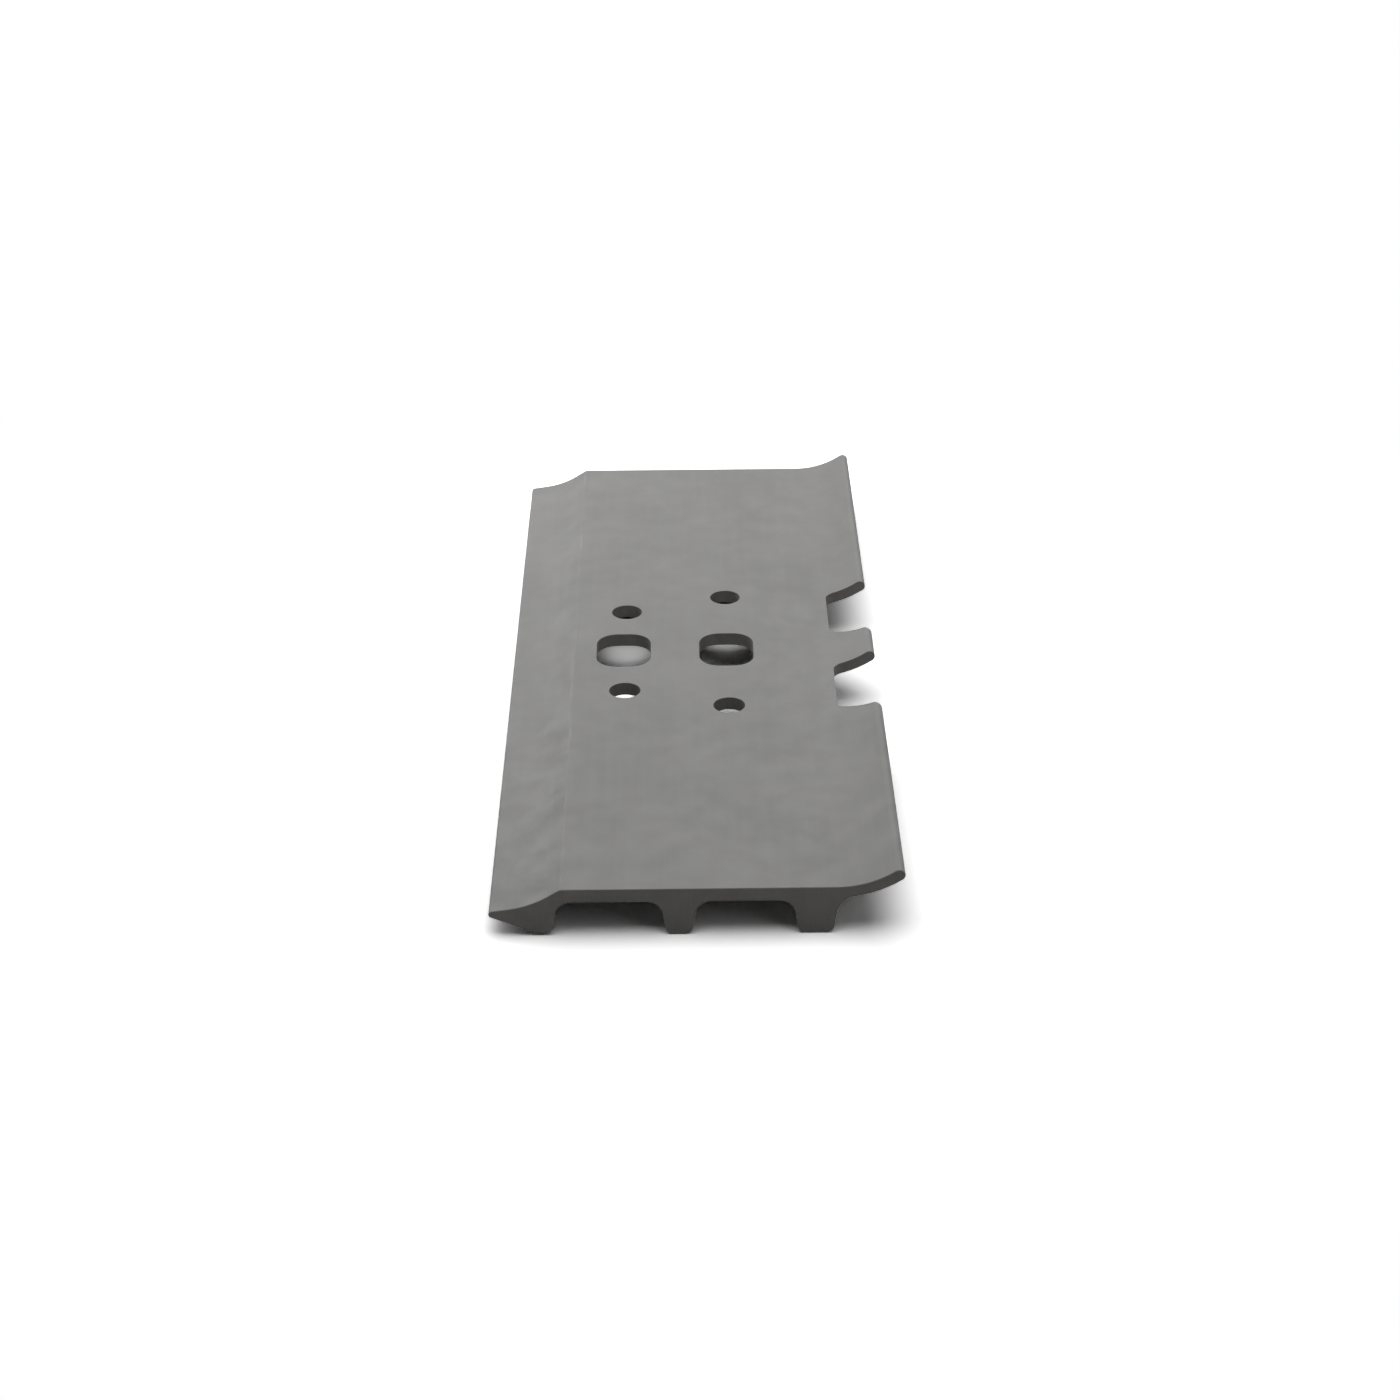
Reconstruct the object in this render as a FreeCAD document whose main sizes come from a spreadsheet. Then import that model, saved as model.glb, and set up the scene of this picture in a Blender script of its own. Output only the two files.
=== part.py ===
import FreeCAD, Part
import math
import os
import Sketcher
from FreeCAD import Vector

# Excavator track shoe: a length of rolled triple-grouser section.  It lies on its middle and lip
# grousers, the toe grouser's foot just clear of the ground, with the flat link seat upwards.  One long
# edge runs down a ramp to a thin toe, the other curls up into a lip, and in use the toe of each shoe
# passes under the lip of the next one.  Four bolt holes take the shoe to its track link, two clean-out
# slots let packed soil out between the link's bolt pads, and two notches in the lip clear the ends of
# the neighbouring links.  Both notches are strokes of one punch, with a straight wall on their +Y side
# and a slanted one on their -Y side, so the shoe isn't quite its own mirror image.
#
# Frame, in millimetres: origin on the link seat at the middle of the four bolt holes, X across the
# section from the toe to the lip, Y along the shoe, Z up out of the link seat.

NODE = "track_shoe"

SIZES = [
    # whole shoe
    ("shoe_length", 600, "end to end, along Y"),
    ("toe_reach", 112, "bolt pattern centre to the tip of the toe"),
    ("lip_reach", 133.5, "bolt pattern centre to the tip of the lip"),
    ("section_height", 32, "link seat down to the feet of the middle and lip grousers"),
    ("plate_thickness", 9, "plate between the grousers"),
    # ramp and toe, angles in degrees from level
    ("ramp_run", 42.6, "tip of the toe back to the brow, where the ramp meets the seat"),
    ("brow_radius", 3, "rounding of the brow"),
    ("ramp_angle", 32.5, "fall of the ramp just below the brow"),
    ("ramp_radius", 58, "hollow where the ramp runs out on to the toe"),
    ("toe_angle", 8, "fall of the toe's upper face"),
    ("toe_drop", 17, "link seat down to the centre of the toe's tip"),
    ("toe_tip_radius", 2.3, "rounding of the toe's tip"),
    ("toe_under_angle", 23, "fall of the toe's underside, from the tip to the foot"),
    ("toe_foot_radius", 12, "blend of that underside into the foot"),
    # grousers
    ("grouser_draft", 8, "lean of the grouser flanks from upright, in degrees"),
    ("root_radius", 10, "fillet between a grouser and the plate"),
    ("foot_radius", 5.5, "rounding of a grouser's foot"),
    ("toe_foot_width", 9.2, "foot of the toe grouser"),
    ("toe_foot_lift", 1.5, "foot of the toe grouser above the other two"),
    ("middle_foot_width", 15.2, "foot of the middle grouser"),
    ("middle_foot_shift", 0.5, "middle grouser towards the lip from the bolt pattern centre"),
    ("lip_foot_inner", 71.3, "bolt pattern centre to the inner edge of the lip grouser's foot"),
    ("lip_foot_width", 20.4, "foot of the lip grouser"),
    # lip
    ("lip_start", 93.5, "bolt pattern centre to where the seat starts to curl up"),
    ("lip_curl_radius", 60, "hollow upper face of the lip"),
    ("lip_thickness", 7.5, "lip, with a fully round tip"),
    ("lip_root_radius", 13, "fillet between the lip grouser and the lip"),
    # bolt holes
    ("bolt_hole_diameter", 21, "clearance for the shoe bolts"),
    ("bolt_row_spacing", 69, "between the narrow pair and the wide pair, along X"),
    ("narrow_pair_spacing", 114, "between the two holes on the toe side, along Y"),
    ("wide_pair_spacing", 157, "between the two holes on the lip side, along Y"),
    # clean-out slots
    ("slot_length", 47, "along Y"),
    ("slot_width", 37, "along X"),
    ("slot_corner_radius", 14, "corners of a slot"),
    ("slot_spacing", 70, "between the two slots, along X"),
    ("slot_shift", 1, "slot pair towards the toe from the bolt pattern centre"),
    # lip notches
    ("notch_wall", 79.1, "middle of the shoe to the straight wall of the notch on the +Y side"),
    ("notch_pitch", 105.5, "from one notch to the same place on the other, along Y"),
    ("notch_length", 56.7, "bottom of a notch, from its straight wall to its slanted wall"),
    ("notch_slant", 29.5, "opening of the slanted wall towards the tip of the lip, in degrees"),
    ("notch_reach", 105.5, "bolt pattern centre to the bottom of a notch"),
    ("notch_corner_radius", 6, "corners at the bottom of a notch"),
    ("punch_clearance", 6, "notch punch beyond the tip of the lip"),
    ("punch_corner_radius", 1, "outer corners of the notch punch, clear of the lip"),
    # ends
    ("end_bevel", 0.3, "dressed edge round both sheared ends"),
]
SIZE = {name: value for name, value, meaning in SIZES}

START, END, CENTRE = 1, 2, 3
ORIGIN = (-1, START)
LEVEL_AXIS = -1
TOUCHING = 1e-6


# ------------------------------------------------------------------ plane geometry of the outlines

def unit(angle):
    """Unit vector in the sketch plane, at an angle in degrees from the sketch's first axis."""
    return Vector(math.cos(math.radians(angle)), math.sin(math.radians(angle)), 0)


def meet(point_a, angle_a, point_b, angle_b):
    """Where the line through point_a at angle_a crosses the line through point_b at angle_b."""
    across = unit(angle_b + 90)
    run = (point_b - point_a).dot(across) / unit(angle_a).dot(across)
    return point_a + unit(angle_a) * run


class Turn:
    """An arc that takes an outline from one heading to another, in degrees."""

    def __init__(self, name, centre, radius, heading_in, heading_out):
        self.name = name
        self.centre = centre
        self.radius = radius
        self.left = heading_out > heading_in
        outward = -90 if self.left else 90
        self.first = heading_in + outward
        self.last = heading_out + outward
        self.entry = centre + unit(self.first) * radius
        self.exit = centre + unit(self.last) * radius

    @classmethod
    def at_corner(cls, name, corner, radius, heading_in, heading_out):
        """The arc that rounds a corner between two straight sides."""
        half_turn = (heading_out - heading_in) / 2
        to_centre = heading_in + half_turn + math.copysign(90, half_turn)
        distance = radius / math.cos(math.radians(half_turn))
        return cls(name, corner + unit(to_centre) * distance, radius, heading_in, heading_out)

    def curve(self):
        low, high = sorted((math.radians(self.first), math.radians(self.last)))
        return Part.ArcOfCircle(Part.Circle(self.centre, Vector(0, 0, 1), self.radius), low, high)


class Outline:
    """A sketch of closed runs of turns with straight sides between them, bound to the size sheet."""

    def __init__(self, body, plane_role, name):
        plane = [item for item in body.Origin.OriginFeatures if item.Role == plane_role][0]
        self.sketch = body.newObject("Sketcher::SketchObject", name)
        self.sketch.AttachmentSupport = (plane, [""])
        self.sketch.MapMode = "FlatFace"
        self.arc = {}
        self.side = {}

    def add(self, turns):
        """Add one closed run of turns and the sides between them, all joined smoothly."""
        chain = []
        for turn, following in zip(turns, turns[1:] + turns[:1]):
            arc = self.sketch.addGeometry(turn.curve(), False)
            self.arc[turn.name] = arc
            chain.append((arc, START, END) if turn.left else (arc, END, START))
            if turn.exit.distanceToPoint(following.entry) > TOUCHING:
                side = self.sketch.addGeometry(Part.LineSegment(turn.exit, following.entry), False)
                self.side[turn.name, following.name] = side
                chain.append((side, START, END))
        for (piece, start, end), (other, other_start, other_end) in zip(chain, chain[1:] + chain[:1]):
            self.sketch.addConstraint(Sketcher.Constraint("Tangent", piece, end, other, other_start))

    def sides_of(self, name):
        """The sides that run into and out of a turn."""
        return [side for ends, side in self.side.items() if name in ends]

    def corner(self, name, place):
        """A construction point where the two sides beside a turn would meet if it were sharp."""
        point = self.sketch.addGeometry(Part.Point(place), True)
        for side in self.sides_of(name):
            self.sketch.addConstraint(Sketcher.Constraint("PointOnObject", point, START, side))
        return (point, START)

    def fix(self, kind, where, value, expression):
        """Add a constraint that has a value, and tie the value to an expression over the sizes."""
        number = self.sketch.addConstraint(Sketcher.Constraint(kind, *where, value))
        self.sketch.setExpression("Constraints[%d]" % number, expression)

    def radius(self, name, size):
        self.fix("Radius", (self.arc[name],), SIZE[size], "Sizes." + size)

    def heading(self, before, after, degrees, expression):
        side = self.side[before, after]
        self.fix("Angle", (side,), math.radians(degrees), "(%s) * 1 deg" % expression)

    def level(self, before, after):
        self.sketch.addConstraint(Sketcher.Constraint("Horizontal", self.side[before, after]))

    def upright(self, before, after):
        self.sketch.addConstraint(Sketcher.Constraint("Vertical", self.side[before, after]))

    def behind(self, point, value, expression):
        """Hold a point this far from the origin against the sketch's first axis."""
        self.fix("DistanceX", (*point, *ORIGIN), value, expression)

    def ahead(self, point, value, expression):
        """Hold a point this far from the origin along the sketch's first axis."""
        self.fix("DistanceX", (*ORIGIN, *point), value, expression)

    def below(self, point, value, expression):
        self.fix("DistanceY", (*point, *ORIGIN), value, expression)

    def above(self, point, value, expression):
        self.fix("DistanceY", (*ORIGIN, *point), value, expression)


# ------------------------------------------------------------------ rolled section

UP_FLANK = 90 - SIZE["grouser_draft"]
UP_FLANK_SIZE = "90 - Sizes.grouser_draft"
RAMP = 180 + SIZE["ramp_angle"]
TOE_LAND = 180 + SIZE["toe_angle"]
TOE_UNDERSIDE = -SIZE["toe_under_angle"]


def foot_corner(across, lift=0):
    return Vector(across, lift - SIZE["section_height"], 0)


def toe_tip_turn():
    centre = Vector(SIZE["toe_tip_radius"] - SIZE["toe_reach"], -SIZE["toe_drop"], 0)
    return Turn("toe_tip", centre, SIZE["toe_tip_radius"], TOE_LAND, 360 + TOE_UNDERSIDE)


def toe_foot_outer():
    """Where the underside of the toe comes down to the level of its foot."""
    return meet(toe_tip_turn().exit, TOE_UNDERSIDE, foot_corner(0, SIZE["toe_foot_lift"]), 0)


BROW = Vector(SIZE["ramp_run"] - SIZE["toe_reach"], 0, 0)
TOE_FOOT_INNER = toe_foot_outer() + Vector(SIZE["toe_foot_width"], 0, 0)
HALF_MIDDLE = SIZE["middle_foot_width"] / 2
MIDDLE_SHIFT = SIZE["middle_foot_shift"]
LIP_FOOT_INNER = foot_corner(SIZE["lip_foot_inner"])
LIP_FOOT_OUTER = LIP_FOOT_INNER + Vector(SIZE["lip_foot_width"], 0, 0)
# Grouser flanks: name, foot corner, the expression for its distance from the bolt pattern centre and
# whether the flank faces the lip.  The toe grouser's foot has no expression, because it is measured
# from the foot's own outer side.
FLANKS = [
    ("toe_inner", TOE_FOOT_INNER, None, True),
    ("middle_toeward", foot_corner(MIDDLE_SHIFT - HALF_MIDDLE),
     "Sizes.middle_foot_width / 2 - Sizes.middle_foot_shift", False),
    ("middle_lipward", foot_corner(MIDDLE_SHIFT + HALF_MIDDLE),
     "Sizes.middle_foot_width / 2 + Sizes.middle_foot_shift", True),
    ("lip_inner", LIP_FOOT_INNER, "Sizes.lip_foot_inner", False),
    ("lip_outer", LIP_FOOT_OUTER, "Sizes.lip_foot_inner + Sizes.lip_foot_width", True),
]


def root_corner(foot, faces_lip):
    """Where a flank meets the underside of the plate."""
    plate_underside = Vector(0, -SIZE["plate_thickness"], 0)
    heading = UP_FLANK if faces_lip else -UP_FLANK
    return meet(foot, heading, plate_underside, 0)


def flank_turns(name, corner, size, faces_lip):
    """The foot and root roundings of one flank, in the order the outline meets them."""
    foot_headings = (0, UP_FLANK) if faces_lip else (-UP_FLANK, 0)
    root_headings = (UP_FLANK, 0) if faces_lip else (0, -UP_FLANK)
    foot = Turn.at_corner(name + "_foot", corner, SIZE["foot_radius"], *foot_headings)
    root = Turn.at_corner(name + "_root", root_corner(corner, faces_lip), SIZE["root_radius"],
                          *root_headings)
    return [foot, root] if faces_lip else [root, foot]


def toe_turns():
    """Brow, hollow of the ramp, tip of the toe and the outer side of its foot."""
    tip = toe_tip_turn()
    ramp_end = meet(BROW, RAMP, tip.entry, TOE_LAND)
    return [
        Turn.at_corner("brow", BROW, SIZE["brow_radius"], 180, RAMP),
        Turn.at_corner("ramp_hollow", ramp_end, SIZE["ramp_radius"], RAMP, TOE_LAND),
        tip,
        Turn.at_corner("toe_outer_foot", toe_foot_outer(), SIZE["toe_foot_radius"], TOE_UNDERSIDE, 0),
    ]


def lip_turns():
    """Fillet from the lip grouser's outer flank, the lip's two faces and its round tip."""
    curl_centre = Vector(SIZE["lip_start"], SIZE["lip_curl_radius"], 0)
    under_radius = SIZE["lip_curl_radius"] + SIZE["lip_thickness"]
    # the fillet's centre is on a line beside the flank, and on a circle outside the lip's underside
    start = LIP_FOOT_OUTER + unit(UP_FLANK - 90) * SIZE["lip_root_radius"]
    to_start = start - curl_centre
    along = to_start.dot(unit(UP_FLANK))
    off_line = to_start.dot(unit(UP_FLANK - 90))
    climb = -along - math.sqrt((under_radius + SIZE["lip_root_radius"]) ** 2 - off_line ** 2)
    root_centre = start + unit(UP_FLANK) * climb
    spoke = root_centre - curl_centre
    root_heading = math.degrees(math.atan2(spoke.y, spoke.x)) + 90
    # the tip's centre runs half way between the two faces
    tip_radius = SIZE["lip_thickness"] / 2
    middle_radius = SIZE["lip_curl_radius"] + tip_radius
    tip_run = SIZE["lip_reach"] - tip_radius - SIZE["lip_start"]
    tip_heading = 90 - math.degrees(math.acos(tip_run / middle_radius))
    tip_centre = curl_centre + unit(tip_heading - 90) * middle_radius
    return [
        Turn("lip_root", root_centre, SIZE["lip_root_radius"], UP_FLANK, root_heading),
        Turn("lip_underside", curl_centre, under_radius, root_heading, tip_heading),
        Turn("lip_tip", tip_centre, tip_radius, tip_heading, tip_heading + 180),
        Turn("lip_curl", curl_centre, SIZE["lip_curl_radius"], tip_heading + 180, 180),
    ]


def section_turns():
    turns = toe_turns()
    for flank in FLANKS:
        turns += flank_turns(*flank)
    # the last flank runs into the lip instead of a plate
    return turns[:-1] + lip_turns()


def draw_section(body):
    """The fully held sketch of the section, anticlockwise from the brow."""
    outline = Outline(body, "XZ_Plane", "Section")
    turns = section_turns()
    outline.add(turns)
    names = [turn.name for turn in turns]
    after = dict(zip(names, names[1:] + names[:1]))

    # link seat, ramp and toe
    seat = ("lip_curl", "brow")
    outline.level(*seat)
    outline.sketch.addConstraint(
        Sketcher.Constraint("PointOnObject", outline.side[seat], START, LEVEL_AXIS))
    outline.radius("brow", "brow_radius")
    outline.behind(outline.corner("brow", BROW), -BROW.x, "Sizes.toe_reach - Sizes.ramp_run")
    outline.heading("brow", "ramp_hollow", SIZE["ramp_angle"] - 180, "Sizes.ramp_angle - 180")
    outline.radius("ramp_hollow", "ramp_radius")
    outline.heading("ramp_hollow", "toe_tip", SIZE["toe_angle"] - 180, "Sizes.toe_angle - 180")
    toe_tip = (outline.arc["toe_tip"], CENTRE)
    outline.radius("toe_tip", "toe_tip_radius")
    outline.behind(toe_tip, SIZE["toe_reach"] - SIZE["toe_tip_radius"],
                   "Sizes.toe_reach - Sizes.toe_tip_radius")
    outline.below(toe_tip, SIZE["toe_drop"], "Sizes.toe_drop")
    outline.heading("toe_tip", "toe_outer_foot", TOE_UNDERSIDE, "-Sizes.toe_under_angle")
    outline.radius("toe_outer_foot", "toe_foot_radius")
    toe_foot = outline.corner("toe_outer_foot", toe_foot_outer())

    # grousers and the plate between them
    for name, corner, size, faces_lip in FLANKS:
        foot, root = name + "_foot", name + "_root"
        outline.radius(foot, "foot_radius")
        point = outline.corner(foot, corner)
        if name == "toe_inner":
            outline.fix("DistanceX", (*toe_foot, *point), SIZE["toe_foot_width"],
                        "Sizes.toe_foot_width")
        else:
            place = outline.ahead if corner.x > 0 else outline.behind
            place(point, abs(corner.x), size)
        if name == "lip_outer":
            outline.heading(foot, "lip_root", UP_FLANK, UP_FLANK_SIZE)
            continue
        outline.radius(root, "root_radius")
        if faces_lip:
            outline.heading(foot, root, UP_FLANK, UP_FLANK_SIZE)
        else:
            outline.heading(root, foot, -UP_FLANK, "-(%s)" % UP_FLANK_SIZE)
    feet = "Sizes.section_height"
    for name, corner, level in (("toe_outer_foot", TOE_FOOT_INNER, feet + " - Sizes.toe_foot_lift"),
                                ("middle_toeward_foot", LIP_FOOT_INNER, feet),
                                ("lip_inner_foot", LIP_FOOT_INNER, feet)):
        outline.level(name, after[name])
        underfoot = (outline.side[name, after[name]], START)
        outline.below(underfoot, -corner.y, level)
    for name in ("toe_inner_root", "middle_lipward_root"):
        outline.level(name, after[name])
        underside = (outline.side[name, after[name]], START)
        outline.below(underside, SIZE["plate_thickness"], "Sizes.plate_thickness")

    # lip
    curl_centre = (outline.arc["lip_curl"], CENTRE)
    under_centre = (outline.arc["lip_underside"], CENTRE)
    outline.radius("lip_root", "lip_root_radius")
    outline.radius("lip_curl", "lip_curl_radius")
    outline.fix("Radius", (outline.arc["lip_underside"],),
                SIZE["lip_curl_radius"] + SIZE["lip_thickness"],
                "Sizes.lip_curl_radius + Sizes.lip_thickness")
    outline.ahead(curl_centre, SIZE["lip_start"], "Sizes.lip_start")
    outline.sketch.addConstraint(Sketcher.Constraint("Coincident", *curl_centre, *under_centre))
    outline.ahead((outline.arc["lip_tip"], CENTRE), SIZE["lip_reach"] - SIZE["lip_thickness"] / 2,
                  "Sizes.lip_reach - Sizes.lip_thickness / 2")
    return outline.sketch


# ------------------------------------------------------------------ punched holes, slots and notches

def draw_bolt_holes(body):
    """One hole of the narrow pair and one of the wide pair, on the same side of the middle."""
    outline = Outline(body, "XY_Plane", "BoltHoles")
    radius = SIZE["bolt_hole_diameter"] / 2
    row = SIZE["bolt_row_spacing"] / 2
    for place, direction, pair in ((outline.behind, -1, "narrow_pair_spacing"),
                                   (outline.ahead, 1, "wide_pair_spacing")):
        centre = Vector(direction * row, SIZE[pair] / 2, 0)
        hole = outline.sketch.addGeometry(Part.Circle(centre, Vector(0, 0, 1), radius), False)
        outline.fix("Diameter", (hole,), 2 * radius, "Sizes.bolt_hole_diameter")
        place((hole, CENTRE), row, "Sizes.bolt_row_spacing / 2")
        outline.above((hole, CENTRE), SIZE[pair] / 2, "Sizes.%s / 2" % pair)
    return outline.sketch


def draw_slots(body):
    """Both clean-out slots: rounded rectangles across the middle of the shoe."""
    outline = Outline(body, "XY_Plane", "CleanOutSlots")
    width, length = SIZE["slot_width"], SIZE["slot_length"]
    for name, place, direction in (("toe", outline.behind, -1), ("lip", outline.ahead, 1)):
        middle = direction * SIZE["slot_spacing"] / 2 - SIZE["slot_shift"]
        low, high = middle - width / 2, middle + width / 2
        corners = [(low, -length / 2, -90), (high, -length / 2, 0),
                   (high, length / 2, 90), (low, length / 2, 180)]
        turns = [Turn.at_corner("%s_%d" % (name, number), Vector(x, y, 0),
                                SIZE["slot_corner_radius"], heading, heading + 90)
                 for number, (x, y, heading) in enumerate(corners)]
        outline.add(turns)
        names = [turn.name for turn in turns]
        for turn in names:
            outline.radius(turn, "slot_corner_radius")
        near, far = (names[0], names[1]), (names[2], names[3])
        lip_side, toe_side = (names[1], names[2]), (names[3], names[0])
        outline.level(*near)
        outline.level(*far)
        outline.upright(*lip_side)
        outline.upright(*toe_side)
        outline.below((outline.side[near], START), length / 2, "Sizes.slot_length / 2")
        outline.above((outline.side[far], START), length / 2, "Sizes.slot_length / 2")
        sign = "+" if direction < 0 else "-"
        shift = "Sizes.slot_spacing / 2 %s Sizes.slot_shift" % sign
        inner, outer = (lip_side, toe_side) if direction < 0 else (toe_side, lip_side)
        place((outline.side[inner], START), abs(middle) - width / 2,
              shift + " - Sizes.slot_width / 2")
        place((outline.side[outer], START), abs(middle) + width / 2,
              shift + " + Sizes.slot_width / 2")
    return outline.sketch


def draw_notches(body):
    """Both lip notches: a straight and a slanted wall each, and open past the tip of the lip."""
    outline = Outline(body, "XY_Plane", "LipNotches")
    bottom = SIZE["notch_reach"]
    beyond = Vector(SIZE["lip_reach"] + SIZE["punch_clearance"], 0, 0)
    slant = SIZE["notch_slant"]
    length, pitch = SIZE["notch_length"], SIZE["notch_pitch"]
    # each notch: name, straight wall, which way it lies from the shoe's middle, and how far from that
    # middle its straight wall and its slanted wall's inner corner are held
    notches = [
        ("plus_y", SIZE["notch_wall"], outline.above,
         "Sizes.notch_wall", "Sizes.notch_wall - Sizes.notch_length"),
        ("minus_y", SIZE["notch_wall"] - pitch, outline.below,
         "Sizes.notch_pitch - Sizes.notch_wall",
         "Sizes.notch_pitch + Sizes.notch_length - Sizes.notch_wall"),
    ]
    for name, wall, hold, wall_size, corner_size in notches:
        slant_corner = Vector(bottom, wall - length, 0)
        slant_end = meet(slant_corner, -slant, beyond, 90)
        wall_end = Vector(beyond.x, wall, 0)
        turns = [
            Turn.at_corner(name + "_slant_corner", slant_corner, SIZE["notch_corner_radius"], -90, -slant),
            Turn.at_corner(name + "_slant_end", slant_end, SIZE["punch_corner_radius"], -slant, 90),
            Turn.at_corner(name + "_wall_end", wall_end, SIZE["punch_corner_radius"], 90, 180),
            Turn.at_corner(name + "_wall_corner", Vector(bottom, wall, 0),
                           SIZE["notch_corner_radius"], 180, 270),
        ]
        outline.add(turns)
        names = [turn.name for turn in turns]
        slanted, end, straight, inner = zip(names, names[1:] + names[:1])
        for corner in (names[0], names[3]):
            outline.radius(corner, "notch_corner_radius")
        for corner in (names[1], names[2]):
            outline.radius(corner, "punch_corner_radius")
        outline.heading(*slanted, -slant, "-Sizes.notch_slant")
        outline.upright(*end)
        outline.ahead((outline.side[end], START), beyond.x, "Sizes.lip_reach + Sizes.punch_clearance")
        outline.level(*straight)
        hold((outline.side[straight], START), abs(wall), wall_size)
        outline.upright(*inner)
        outline.ahead((outline.side[inner], START), bottom, "Sizes.notch_reach")
        hold(outline.corner(names[0], slant_corner), abs(slant_corner.y), corner_size)
    return outline.sketch


# ------------------------------------------------------------------ features

def cut(body, name, sketch, both_ways=False):
    """Punch a sketch through the shoe, and make sure that it took metal away."""
    before = body.Shape.Volume
    pocket = body.newObject("PartDesign::Pocket", name)
    pocket.Profile = sketch
    pocket.Type = "ThroughAll"
    if both_ways:
        pocket.SideType = "Symmetric"
    sketch.Document.recompute()
    if not body.Shape.Volume < before:
        raise RuntimeError(name + " took no metal away")
    return pocket


def end_edges(shape):
    """Names of the edges round the two sheared ends."""
    half = SIZE["shoe_length"] / 2
    return ["Edge%d" % number for number, edge in enumerate(shape.Edges, start=1)
            if abs(abs(edge.CenterOfMass.y) - half) < TOUCHING and edge.BoundBox.YLength < TOUCHING]


def build_shoe(document):
    body = document.addObject("PartDesign::Body", NODE)
    body.Label = NODE
    body.Placement = FreeCAD.Placement()

    section = draw_section(body)
    bar = body.newObject("PartDesign::Pad", "RolledSection")
    bar.Profile = section
    bar.SideType = "Symmetric"
    bar.setExpression("Length", "Sizes.shoe_length")
    document.recompute()

    cut(body, "PunchedSlots", draw_slots(body))
    cut(body, "PunchedNotches", draw_notches(body), both_ways=True)
    holes = cut(body, "PunchedBoltHoles", draw_bolt_holes(body))
    middle = [item for item in body.Origin.OriginFeatures if item.Role == "XZ_Plane"][0]
    mirrored = body.newObject("PartDesign::Mirrored", "OtherBoltHoles")
    mirrored.Originals = [holes]
    mirrored.MirrorPlane = (middle, [""])
    body.Tip = mirrored
    document.recompute()

    ends = body.newObject("PartDesign::Chamfer", "DressedEnds")
    ends.Base = (mirrored, end_edges(mirrored.Shape))
    ends.setExpression("Size", "Sizes.end_bevel")
    body.Tip = ends
    document.recompute()
    return body


def fill_sheet(document):
    sheet = document.addObject("Spreadsheet::Sheet", "Sizes")
    for row, (name, value, meaning) in enumerate(SIZES, start=1):
        sheet.set("A%d" % row, name)
        sheet.set("B%d" % row, str(value))
        sheet.setAlias("B%d" % row, name)
        sheet.set("C%d" % row, meaning)
    document.recompute()


def check(document, shape):
    """Stop before anything is written if a feature has failed."""
    for item in document.Objects:
        if "Invalid" in item.State or "Error" in item.State:
            raise RuntimeError("%s failed: %s" % (item.Name, item.State))
    if shape.isNull() or not shape.isValid() or len(shape.Solids) != 1:
        raise RuntimeError("the shoe is not one sound solid")


document = FreeCAD.newDocument("TrackShoe")
fill_sheet(document)
shoe = build_shoe(document)
check(document, shoe.Shape)
os.makedirs("parts", exist_ok=True)
shoe.Shape.exportStep("parts/%s.step" % shoe.Label)
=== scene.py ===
"""Looks of the excavator track shoe: primed rolled steel on a plain white floor.

The shoe itself is the CAD mesh. This script gives it its steel, and adds the studio and the camera.
"""

import math

import bpy
from mathutils import Matrix, Vector


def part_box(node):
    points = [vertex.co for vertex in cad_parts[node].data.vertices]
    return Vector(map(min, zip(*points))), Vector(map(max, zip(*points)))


SHOE = "track_shoe"

# Camera, in metres and degrees: a yaw of 0 looks along +Y, and the pitch is downwards.
CAMERA_AT = Vector((0.0040, -1.6519, 0.8733))
CAMERA_YAW, CAMERA_PITCH, CAMERA_ROLL = -0.41, 28.92, -0.38
SENSOR_MM, LENS_MM = 36.0, 70.38
CLIP_NEAR, CLIP_FAR = 0.05, 50.0

# Studio. The floor has one colour that light bounces from and one that is looked at, and it runs
# into plain white between two distances from its middle.
WORLD_LIGHT = 0.02
WHITE = 1.0
FLOOR_BOUNCE = 0.25
FLOOR_SEEN = 1.9
FLOOR_HALF = 12.0
FLOOR_FADE_FROM, FLOOR_FADE_TO = 0.45, 0.75

# Softboxes, all aimed at the shoe's middle: name, place, diameter in metres, power in watts.
SOFTBOXES = [
    ("overhead", (0.0, 0.0, 1.6), 2.2, 22.5),
    ("far_top", (0.0, 0.9, 1.3), 0.9, 1.2),
    ("far_left", (-0.45, 0.45, 0.35), 0.3, 1.4),
    ("far_right", (0.35, 0.95, 0.5), 0.4, 1.2),
    ("front_right", (1.0, -1.0, 0.9), 0.7, 0.8),
]

# Linear greys of the steel, each with the share by which it is warmer than a plain grey.
PRIMER_DARK, PRIMER_LIGHT = (0.2397, 0.010), (0.26775, 0.012)
STREAK, PATCH = (0.2754, 0.012), (0.2295, 0.02)
# The cut faces' greys: bare sheared steel, darkened a little as painted shade.
CUT_AND_SHADE_DARK, CUT_AND_SHADE_LIGHT = (0.225, 0.03), (0.275, 0.03)
# The pale grey of worn paint, which also paints a highlight on the edges and the brow.
WORN_AND_HIGHLIGHT = (0.36, 0.01)

# How much of each layer shows where it is at its strongest.
STREAK_SHARE, PATCH_SHARE, EDGE_SHARE, RUB_AND_HIGHLIGHT_SHARE = 0.35, 0.25, 0.5, 0.45

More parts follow.
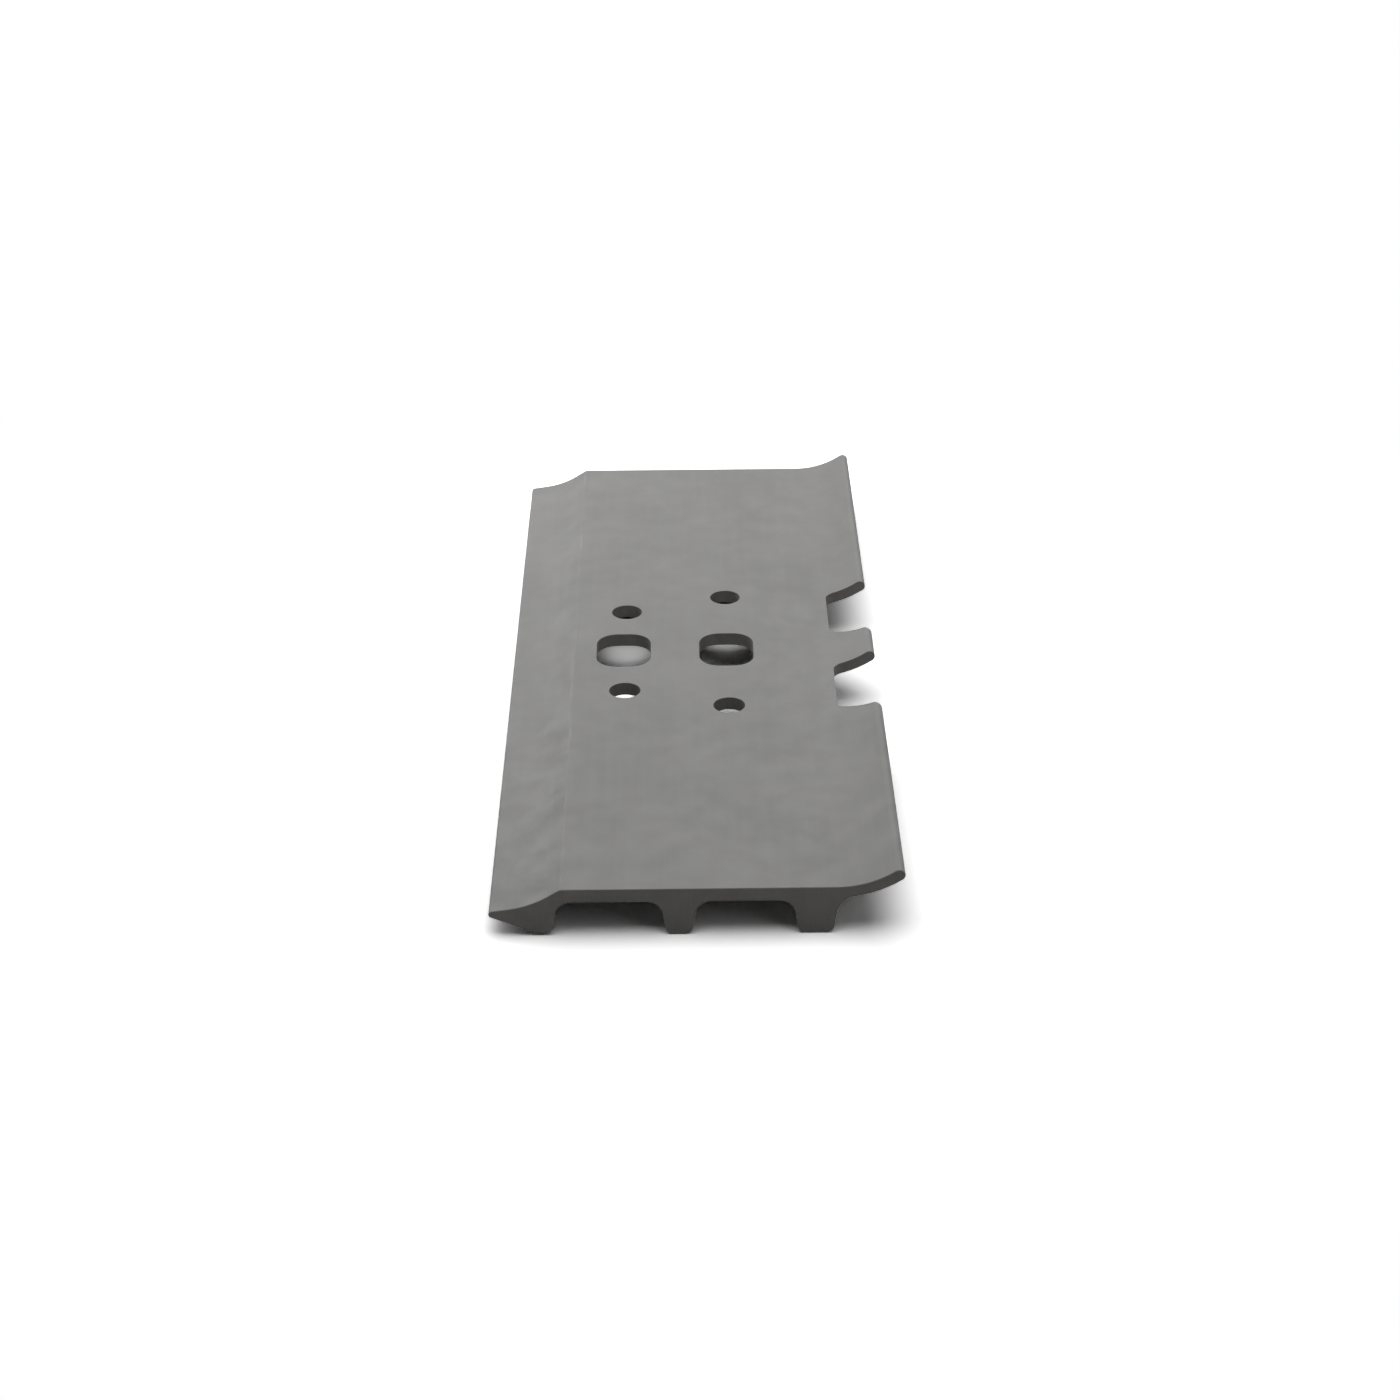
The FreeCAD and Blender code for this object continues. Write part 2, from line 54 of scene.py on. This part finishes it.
# Patterns: the scale, in waves per metre or along each axis, the octaves of detail, and the range
# of the noise that is spread over 0 to 1.
MOTTLE = {"scale": 14.0, "detail": 4.0, "spread": (0.3, 0.7)}
PATCHES = {"scale": 45.0, "detail": 3.0, "spread": (0.35, 0.7)}
STREAKS = {"scale": (160.0, 5.0, 160.0), "detail": 3.0, "spread": (0.35, 0.75)}
EDGE_BREAKS = {"scale": 120.0, "detail": 4.0, "spread": (0.42, 0.68)}
BROW_STREAKS = {"scale": (420.0, 22.0, 420.0), "detail": 3.0, "spread": (0.52, 0.72)}
SHEEN = {"scale": 60.0, "detail": 3.0, "spread": (0.3, 0.7)}
GRAIN_SCALE, GRAIN_DETAIL, GRAIN_ROUGH = 900.0, 3.0, 0.6
SHEAR_SCALE, SHEAR_DETAIL = (900.0, 900.0, 60.0), 2.0

# Edge wear and painted highlight: its width, and the agreement of the rounded and the true normal
# from none to full.
WEAR_AND_HIGHLIGHT_WIDTH, WEAR_AND_HIGHLIGHT_SAMPLES = 0.0012, 6
WEAR_AND_HIGHLIGHT_NONE, WEAR_AND_HIGHLIGHT_FULL = 0.995, 0.86

# The brow, where the ramp meets the link seat, is this far from the toe's tip.
BROW_FROM_TIP = 0.0426
# The pale band along the brow fades out at this distance from it: rubbed paint, and a painted
# highlight.
RUB_AND_HIGHLIGHT_WIDTH = 0.004

# Cut faces are painted a little darker: partly bare sheared steel, partly painted shade.
# Cut faces stand upright and face along the shoe: the normal's Z and Y from none to full.
UPRIGHT_NONE, UPRIGHT_FULL = 0.25, 0.02
END_ON_NONE, END_ON_FULL = 0.15, 0.6

# Gloss and bump of the steel.
ROUGH_LOW, ROUGH_HIGH = 0.56, 0.7
SPECULAR = 0.3
SHEAR_HEIGHT = 1.5
BUMP_STRENGTH, BUMP_DISTANCE = 0.25, 0.0001

# Sockets of the Mix node for colours, which share their names with those for other types.
MIX_FACTOR, MIX_A, MIX_B, MIX_RESULT = 0, 6, 7, 2


# ------------------------------------------------------------------ node helpers

class Nodes:
    """Adds nodes to an emptied tree and joins them."""

    def __init__(self, tree):
        self.tree = tree
        self.tree.nodes.clear()

    def add(self, kind, inputs=None, **settings):
        """A node, with each input joined to a socket or set to a plain value."""
        node = self.tree.nodes.new(kind)
        for name, value in settings.items():
            setattr(node, name, value)
        for key, value in (inputs or {}).items():
            socket = node.inputs[key]
            if isinstance(value, bpy.types.NodeSocket):
                self.tree.links.new(value, socket)
            else:
                socket.default_value = value
        return node

    def math(self, operation, *values):
        inputs = dict(enumerate(values))
        return self.add("ShaderNodeMath", inputs, operation=operation).outputs[0]

    def mix(self, factor, low, high):
        inputs = {MIX_FACTOR: factor, MIX_A: low, MIX_B: high}
        return self.add("ShaderNodeMix", inputs, data_type="RGBA").outputs[MIX_RESULT]

    def ramp(self, value, low, high, low_out=0.0, high_out=1.0):
        """A smooth step, from low_out at low to high_out at high."""
        inputs = {"Value": value, "From Min": low, "From Max": high,
                  "To Min": low_out, "To Max": high_out}
        return self.add("ShaderNodeMapRange", inputs, interpolation_type="SMOOTHSTEP").outputs[0]

    def noise(self, place, scale, detail, rough=0.5):
        """Noise from 0 to 1. Three scales, one along each axis, draw it out."""
        if isinstance(scale, tuple):
            place = self.add("ShaderNodeMapping", {"Vector": place, "Scale": scale}).outputs[0]
            scale = 1.0
        inputs = {"Vector": place, "Scale": scale, "Detail": detail, "Roughness": rough}
        return self.add("ShaderNodeTexNoise", inputs).outputs["Fac"]

    def pattern(self, place, look, low_out=0.0, high_out=1.0):
        """One of the patterns named above."""
        noise = self.noise(place, look["scale"], look["detail"])
        return self.ramp(noise, *look["spread"], low_out, high_out)


def grey(value, warm=0.0):
    """A colour of that grey, its red up and its blue down by the share warm."""
    return (value * (1 + warm), value, value * (1 - warm), 1.0)


def new_material(name):
    material = bpy.data.materials.new(name)
    material.use_nodes = True
    return material, Nodes(material.node_tree)


# ------------------------------------------------------------------ steel

def rolled_skin(nodes, place):
    """Primer over mill scale: a soft mottle, and faint streaks along the rolling direction."""
    colour = nodes.mix(nodes.pattern(place, MOTTLE), grey(*PRIMER_DARK), grey(*PRIMER_LIGHT))
    streaks = nodes.math("MULTIPLY", nodes.pattern(place, STREAKS), STREAK_SHARE)
    colour = nodes.mix(streaks, colour, grey(*STREAK))
    patches = nodes.math("MULTIPLY", nodes.pattern(place, PATCHES), PATCH_SHARE)
    return nodes.mix(patches, colour, grey(*PATCH))


def edge_wear_and_highlight(nodes, place):
    """1 along the edges, as worn paint and a painted highlight: where a rounded normal departs from
    the true one, broken by noise.
    """
    inputs = {"Radius": WEAR_AND_HIGHLIGHT_WIDTH}
    rounded = nodes.add("ShaderNodeBevel", inputs, samples=WEAR_AND_HIGHLIGHT_SAMPLES).outputs[0]
    true = nodes.add("ShaderNodeNewGeometry").outputs["Normal"]
    agree = nodes.add("ShaderNodeVectorMath", {0: rounded, 1: true}, operation="DOT_PRODUCT")
    edge = nodes.ramp(agree.outputs["Value"], WEAR_AND_HIGHLIGHT_NONE, WEAR_AND_HIGHLIGHT_FULL)
    return nodes.math("MULTIPLY", edge, nodes.pattern(place, EDGE_BREAKS))


def brow_rub_and_highlight(nodes, place, brow):
    """1 in the pale streaks along the brow: rubbed where the next shoe's lip slides, and a painted
    highlight where the brow turns to the light.
    """
    across = nodes.add("ShaderNodeSeparateXYZ", {"Vector": place}).outputs["X"]
    off_brow = nodes.math("ABSOLUTE", nodes.math("ADD", across, -brow))
    near = nodes.ramp(off_brow, RUB_AND_HIGHLIGHT_WIDTH, 0.0)
    return nodes.math("MULTIPLY", near, nodes.pattern(place, BROW_STREAKS))


def cut_metal_and_shade(nodes):
    """1 on the sheared ends and the punched walls, which are finely lined, and a little darker:
    partly bare steel, partly painted shade.
    """
    normal = nodes.add("ShaderNodeNewGeometry").outputs["True Normal"]
    facing = nodes.add("ShaderNodeSeparateXYZ", {"Vector": normal})
    slope = nodes.math("ABSOLUTE", facing.outputs["Z"])
    along = nodes.math("ABSOLUTE", facing.outputs["Y"])
    return nodes.math("MULTIPLY", nodes.ramp(slope, UPRIGHT_NONE, UPRIGHT_FULL),
                      nodes.ramp(along, END_ON_NONE, END_ON_FULL))


def primed_steel(brow):
    """The shoe's one material. brow is the X of the line where the ramp meets the link seat."""
    material, nodes = new_material("primed_steel")
    place = nodes.add("ShaderNodeTexCoord").outputs["Object"]

    # the lines that the shear leaves down the cut faces
    lines = nodes.noise(place, SHEAR_SCALE, SHEAR_DETAIL)
    cut_and_shade = cut_metal_and_shade(nodes)
    # the cut faces' colour: bare sheared steel, darkened a little as painted shade
    sheared_and_shaded = nodes.mix(lines, grey(*CUT_AND_SHADE_DARK), grey(*CUT_AND_SHADE_LIGHT))
    colour = nodes.mix(cut_and_shade, rolled_skin(nodes, place), sheared_and_shaded)
    # pale edges and brow: worn paint, and a painted highlight where they catch the light
    for wear_and_highlight, share in ((edge_wear_and_highlight(nodes, place), EDGE_SHARE),
                        (brow_rub_and_highlight(nodes, place, brow), RUB_AND_HIGHLIGHT_SHARE)):
        colour = nodes.mix(nodes.math("MULTIPLY", wear_and_highlight, share), colour, grey(*WORN_AND_HIGHLIGHT))

    grain = nodes.noise(place, GRAIN_SCALE, GRAIN_DETAIL, GRAIN_ROUGH)
    cut_lines = nodes.math("MULTIPLY", nodes.math("MULTIPLY", lines, cut_and_shade), SHEAR_HEIGHT)
    bump = nodes.add("ShaderNodeBump", {"Height": nodes.math("ADD", grain, cut_lines),
                                        "Strength": BUMP_STRENGTH, "Distance": BUMP_DISTANCE})
    surface = nodes.add("ShaderNodeBsdfPrincipled", {
        "Base Color": colour,
        "Roughness": nodes.pattern(place, SHEEN, ROUGH_LOW, ROUGH_HIGH),
        "Normal": bump.outputs[0],
        "Specular IOR Level": SPECULAR,
    })
    nodes.add("ShaderNodeOutputMaterial", {"Surface": surface.outputs[0]})
    return material


# ------------------------------------------------------------------ studio

def direct_view(nodes):
    """1 on rays that are looked along: camera, mirror and glass rays."""
    path = nodes.add("ShaderNodeLightPath").outputs
    seen = nodes.math("MAXIMUM", path["Is Camera Ray"], path["Is Glossy Ray"])
    return nodes.math("MAXIMUM", seen, path["Is Transmission Ray"])


def make_floor(level):
    """A wide square at that height, which keeps the shoe's shadow."""
    corners = [(x * FLOOR_HALF, y * FLOOR_HALF, level)
               for x, y in ((-1, -1), (1, -1), (1, 1), (-1, 1))]
    mesh = bpy.data.meshes.new("studio_floor")
    mesh.from_pydata(corners, [], [(0, 1, 2, 3)])
    floor = bpy.data.objects.new("studio_floor", mesh)
    bpy.context.scene.collection.objects.link(floor)

    material, nodes = new_material("studio_floor")
    seen = direct_view(nodes)
    colour = nodes.mix(seen, grey(FLOOR_BOUNCE), grey(FLOOR_SEEN))
    near = nodes.add("ShaderNodeBsdfDiffuse", {"Color": colour})
    # away from the shoe and its shadow the floor runs into the white background
    place = nodes.add("ShaderNodeTexCoord").outputs["Object"]
    away = nodes.add("ShaderNodeVectorMath", {0: place}, operation="LENGTH").outputs["Value"]
    plain = nodes.math("MULTIPLY", seen, nodes.ramp(away, FLOOR_FADE_FROM, FLOOR_FADE_TO))
    far = nodes.add("ShaderNodeEmission", {"Color": grey(WHITE), "Strength": 1.0})
    surface = nodes.add("ShaderNodeMixShader", {0: plain, 1: near.outputs[0], 2: far.outputs[0]})
    nodes.add("ShaderNodeOutputMaterial", {"Surface": surface.outputs[0]})
    mesh.materials.append(material)


def make_world():
    """White where it is looked at, and a faint even light on the shoe."""
    world = bpy.data.worlds.new("studio")
    bpy.context.scene.world = world
    world.use_nodes = True
    nodes = Nodes(world.node_tree)
    inputs = {"Value": direct_view(nodes), "To Min": WORLD_LIGHT, "To Max": WHITE}
    strength = nodes.add("ShaderNodeMapRange", inputs).outputs[0]
    back = nodes.add("ShaderNodeBackground", {"Color": grey(1.0), "Strength": strength})
    nodes.add("ShaderNodeOutputWorld", {"Surface": back.outputs[0]})


def make_softbox(name, place, diameter, power):
    light = bpy.data.lights.new(name, "AREA")
    light.shape = "DISK"
    light.size = diameter
    light.energy = power
    lamp = bpy.data.objects.new(name, light)
    lamp.location = place
    lamp.rotation_euler = (-Vector(place)).to_track_quat("-Z", "Y").to_euler()
    bpy.context.scene.collection.objects.link(lamp)


def make_camera():
    yaw, pitch, roll = (math.radians(angle) for angle in (CAMERA_YAW, CAMERA_PITCH, CAMERA_ROLL))
    level = Vector((-math.sin(yaw), math.cos(yaw), 0))
    right = Vector((math.cos(yaw), math.sin(yaw), 0))
    forward = level * math.cos(pitch) - Vector((0, 0, 1)) * math.sin(pitch)
    up = right.cross(forward)
    tilted_right = right * math.cos(roll) + up * math.sin(roll)
    tilted_up = up * math.cos(roll) - right * math.sin(roll)
    camera = bpy.data.cameras.new("camera")
    camera.sensor_width = SENSOR_MM
    camera.lens = LENS_MM
    camera.clip_start, camera.clip_end = CLIP_NEAR, CLIP_FAR
    holder = bpy.data.objects.new("camera", camera)
    turn = Matrix((tilted_right, tilted_up, -forward)).transposed().to_4x4()
    holder.matrix_world = Matrix.Translation(CAMERA_AT) @ turn
    bpy.context.scene.collection.objects.link(holder)
    bpy.context.scene.camera = holder


# ------------------------------------------------------------------ scene

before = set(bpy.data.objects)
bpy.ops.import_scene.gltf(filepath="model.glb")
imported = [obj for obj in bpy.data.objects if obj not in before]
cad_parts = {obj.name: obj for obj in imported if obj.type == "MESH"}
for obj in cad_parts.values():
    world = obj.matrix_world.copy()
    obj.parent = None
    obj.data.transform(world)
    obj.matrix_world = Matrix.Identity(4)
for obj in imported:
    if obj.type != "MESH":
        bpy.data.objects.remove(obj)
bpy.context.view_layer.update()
toe_tip, _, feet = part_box(SHOE)[0]
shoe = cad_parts[SHOE]
shoe.data.materials.clear()
shoe.data.materials.append(primed_steel(toe_tip + BROW_FROM_TIP))

make_camera()
make_world()
make_floor(feet)
for softbox in SOFTBOXES:
    make_softbox(*softbox)

bpy.context.scene.view_settings.view_transform = "Standard"
